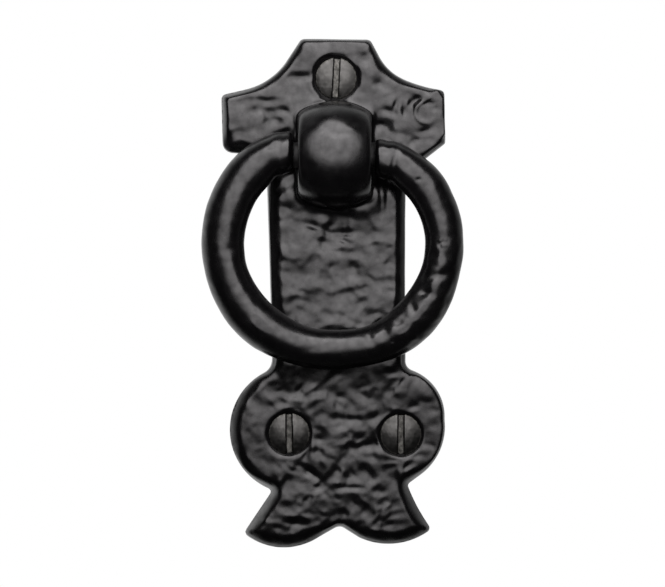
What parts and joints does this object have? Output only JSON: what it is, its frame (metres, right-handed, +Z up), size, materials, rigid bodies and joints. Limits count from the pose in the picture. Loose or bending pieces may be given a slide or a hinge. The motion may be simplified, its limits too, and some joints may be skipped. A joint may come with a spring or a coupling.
{
  "type": "ring pull handle",
  "caption": "Black cast iron ring pull for a drawer or cabinet door, with a shaped back plate, a domed boss and a hanging ring.",
  "frame": {"origin": "on the flat back face of the plate, straight behind the middle of the ring's pivot", "axes": "+Z up along the plate, -Y out of the front face, +X to the right seen from the front"},
  "size_m": [0.0527, 0.0354, 0.1023],
  "materials": {
    "black_iron": "satin black coating over a hammered casting",
    "dark_steel": "dark grey dulled steel"
  },
  "bodies": {
    "plate": {"back_plate": "black_iron", "wood_screws": "dark_steel"},
    "ring": {"ring": "black_iron"}
  },
  "joints": [
    {"name": "ring_swing", "type": "hinge", "parent": "plate", "child": "ring", "pos_m": [0, -0.0094, 0], "axis": [-1, 0, 0], "range_deg": [0, 178]}
  ]
}
